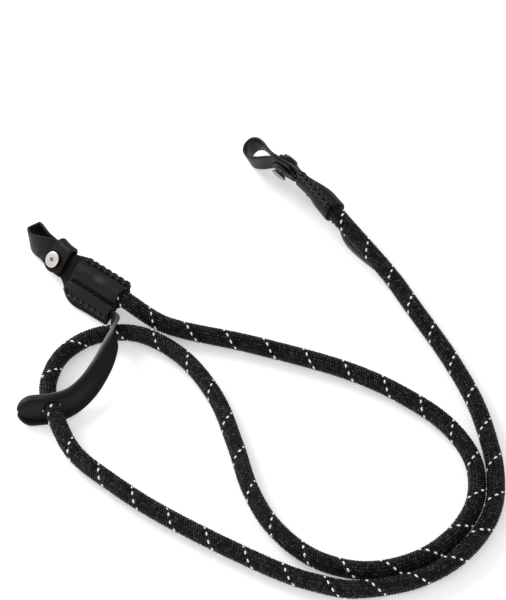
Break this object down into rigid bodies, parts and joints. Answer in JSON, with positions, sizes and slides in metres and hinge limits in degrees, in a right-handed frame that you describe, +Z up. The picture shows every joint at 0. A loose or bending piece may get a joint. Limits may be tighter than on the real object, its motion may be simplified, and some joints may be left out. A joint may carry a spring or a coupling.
{
  "type": "braided rope carrying strap",
  "caption": "Round braided rope strap laid in loose coils, with a sewn leather fitting on each end: sleeve, neck, folded keeper with a screw, and a teardrop attachment loop.",
  "frame": {"origin": "middle of the two leather fittings' common bounding box, at its underside", "axes": "+Z up off the surface that the strap lies on, +X from the left fitting towards the right one, +Y away from the coils"},
  "size_m": [0.2398, 0.2857, 0.023],
  "materials": {
    "rope": "braided, with a white tracer thread",
    "leather": "fine grained, satin, black",
    "steel": "polished, slightly satin"
  },
  "bodies": {
    "root": {"rope": "rope", "left_band": "leather", "right_band": "leather", "left_sleeve": "leather", "right_sleeve": "leather", "left_keeper": "leather", "right_keeper": "leather", "left_tail": "leather", "right_tail": "leather", "left_barrel": "steel", "right_barrel": "steel", "left_screw": "steel", "right_screw": "steel"}
  },
  "joints": []
}
